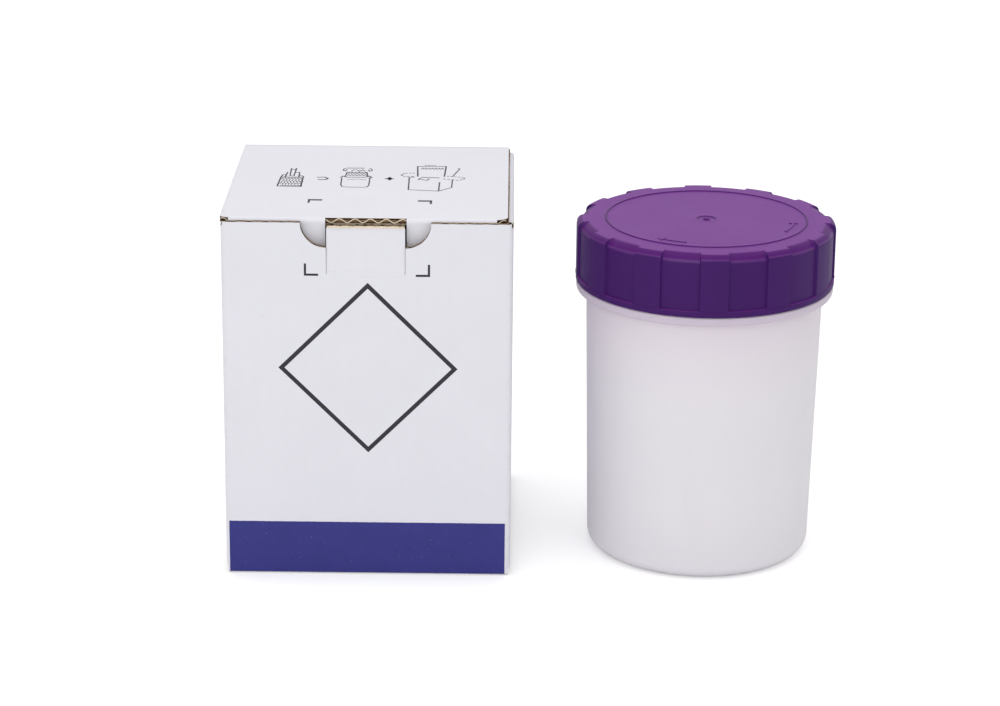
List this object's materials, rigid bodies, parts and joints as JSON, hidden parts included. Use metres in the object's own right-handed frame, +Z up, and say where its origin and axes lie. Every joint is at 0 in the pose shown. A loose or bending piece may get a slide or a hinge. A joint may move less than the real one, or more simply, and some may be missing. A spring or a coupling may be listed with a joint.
{
  "type": "specimen transport box",
  "caption": "Corrugated specimen carton with tuck-in lid, dust flaps, lock tab and crash-lock base, with its screw-lid secondary jar standing beside it.",
  "frame": {"origin": "centre of the carton's base, on the surface it stands on", "axes": "+Z up, the carton's printed front faces -Y, the jar stands at +X"},
  "size_m": [0.2525, 0.1277, 0.1534],
  "materials": {
    "white_board": "white lined corrugated board, matte, kraft core at raw edges",
    "jar_shell": "translucent natural polypropylene, satin",
    "purple_lid": "moulded purple polypropylene, satin",
    "seal": "soft white elastomer"
  },
  "bodies": {
    "carton": {"front_wall": "white_board", "back_wall": "white_board", "left_wall": "white_board", "right_wall": "white_board", "glue_flap": "white_board", "base_flap_front": "white_board", "base_flap_back": "white_board", "base_flap_left": "white_board", "base_flap_right": "white_board"},
    "lid": {"lid_panel": "white_board"},
    "tuck": {"tuck_flap": "white_board"},
    "dust_left": {"dust_flap_left": "white_board"},
    "dust_right": {"dust_flap_right": "white_board"},
    "lock": {"lock_tab": "white_board"},
    "jar": {"jar_body": "jar_shell"},
    "jar_seal": {"lid_seal": "seal"},
    "jar_cap": {"jar_lid": "purple_lid"}
  },
  "joints": [
    {"name": "lid_hinge", "type": "hinge", "parent": "carton", "child": "lid", "pos_m": [0, 0.059, 0.1534], "axis": [-1, 0, 0], "range_deg": [0, 178]},
    {"name": "tuck_fold", "type": "hinge", "parent": "lid", "child": "tuck", "pos_m": [0, -0.05335, 0.1509], "axis": [1, 0, 0], "range_deg": [0, 45]},
    {"name": "dust_left_fold", "type": "hinge", "parent": "carton", "child": "dust_left", "pos_m": [-0.059, 0, 0.1506], "axis": [0, -1, 0], "range_deg": [0, 90]},
    {"name": "dust_right_fold", "type": "hinge", "parent": "carton", "child": "dust_right", "pos_m": [0.059, 0, 0.1506], "axis": [0, 1, 0], "range_deg": [0, 90]},
    {"name": "lock_press", "type": "hinge", "parent": "carton", "child": "lock", "pos_m": [0, -0.0565, 0.1309], "axis": [-1, 0, 0], "range_deg": [-2.5, 12.5]},
    {"name": "jar_lift", "type": "slide", "parent": "carton", "child": "jar", "axis": [0, 0, 1], "range_m": [0, 0.16]},
    {"name": "lid_rise", "type": "slide", "parent": "jar", "child": "jar_seal", "axis": [0, 0, 1], "range_m": [0, 0.036]},
    {"name": "lid_turn", "type": "hinge", "parent": "jar_seal", "child": "jar_cap", "pos_m": [0.139, -0.0148, 0.13], "axis": [0, 0, 1], "range_deg": [0, 1080]}
  ],
  "couplings": [
    {"joint": "dust_left_fold", "follows": "lid_hinge", "ratio": 0.5},
    {"joint": "dust_right_fold", "follows": "lid_hinge", "ratio": 0.5},
    {"joint": "lid_rise", "follows": "lid_turn", "m_per_rad": 0.0019099}
  ]
}
